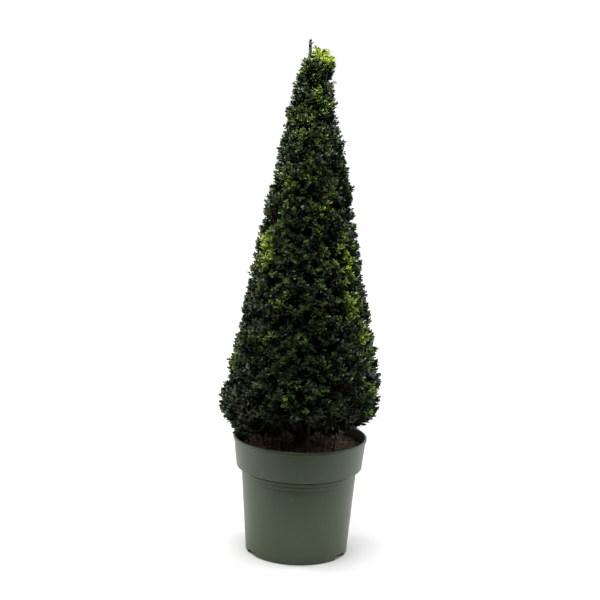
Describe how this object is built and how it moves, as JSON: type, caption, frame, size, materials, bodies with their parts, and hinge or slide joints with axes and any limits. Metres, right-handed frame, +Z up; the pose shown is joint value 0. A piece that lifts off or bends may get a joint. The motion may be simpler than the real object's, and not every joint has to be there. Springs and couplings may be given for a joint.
{
  "type": "potted box pyramid topiary",
  "caption": "Clipped small-leaved box trained as a slim pyramid on a central stem, standing in a round tapered nursery pot of compost.",
  "frame": {"origin": "centre of the pot's flat underside, on the surface that it stands on", "axes": "+Z up along the pot's axis and the stem, +X to the right and +Y away from someone looking at the front"},
  "size_m": [0.2686, 0.2569, 0.835],
  "materials": {
    "pot_plastic": "satin",
    "compost": "matte",
    "bark": "matte",
    "foliage": "satin"
  },
  "bodies": {
    "root": {"pot": "pot_plastic", "compost": "compost", "trunk": "bark", "bough_1": "bark", "bough_2": "bark", "bough_3": "bark", "bough_4": "bark", "bough_5": "bark", "bough_6": "bark", "bough_7": "bark", "crown_skirt": "foliage", "crown_lower": "foliage", "crown_middle": "foliage", "crown_upper": "foliage", "crown_top": "foliage"}
  },
  "joints": []
}
